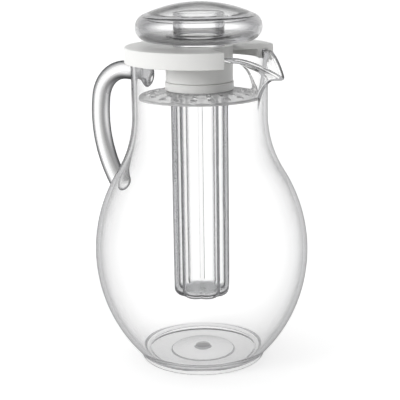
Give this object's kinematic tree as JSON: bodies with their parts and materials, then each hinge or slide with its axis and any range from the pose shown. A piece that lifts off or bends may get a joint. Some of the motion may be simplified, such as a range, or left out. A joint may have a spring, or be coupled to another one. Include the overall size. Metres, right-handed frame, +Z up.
{
  "type": "pitcher with ice core",
  "caption": "Clear pitcher with a bulbous body, bonded bar handle and V lip, a white lid with a hollow clear knob, and a fluted ice tube with a strainer hanging from the lid.",
  "frame": {"origin": "on the body axis, at the plane of the foot ring", "axes": "+X towards the spout, -X towards the handle, +Z up along the body axis"},
  "size_m": [0.184, 0.164, 0.276],
  "materials": {
    "clear_plastic": "gloss",
    "white_plastic": "satin",
    "soft_seal": "matte"
  },
  "bodies": {
    "jug": {"jug_body": "clear_plastic", "handle": "clear_plastic"},
    "lid": {"lid_cover": "white_plastic", "knob_base": "clear_plastic", "knob_cap": "clear_plastic"},
    "strainer": {"strainer": "clear_plastic"},
    "ice_core": {"ice_tube": "clear_plastic", "tube_collar": "white_plastic", "tube_seal": "soft_seal"}
  },
  "joints": [
    {"name": "lid_lift", "type": "slide", "parent": "jug", "child": "lid", "axis": [0, 0, 1], "range_m": [0, 0.22]},
    {"name": "core_lower", "type": "slide", "parent": "lid", "child": "strainer", "axis": [0, 0, -1], "range_m": [0, 0.008]},
    {"name": "core_unscrew", "type": "hinge", "parent": "strainer", "child": "ice_core", "pos_m": [0, 0, 0.2], "axis": [0, 0, -1], "range_deg": [0, 240]}
  ],
  "couplings": [
    {"joint": "core_lower", "follows": "core_unscrew", "m_per_rad": 0.0019}
  ]
}
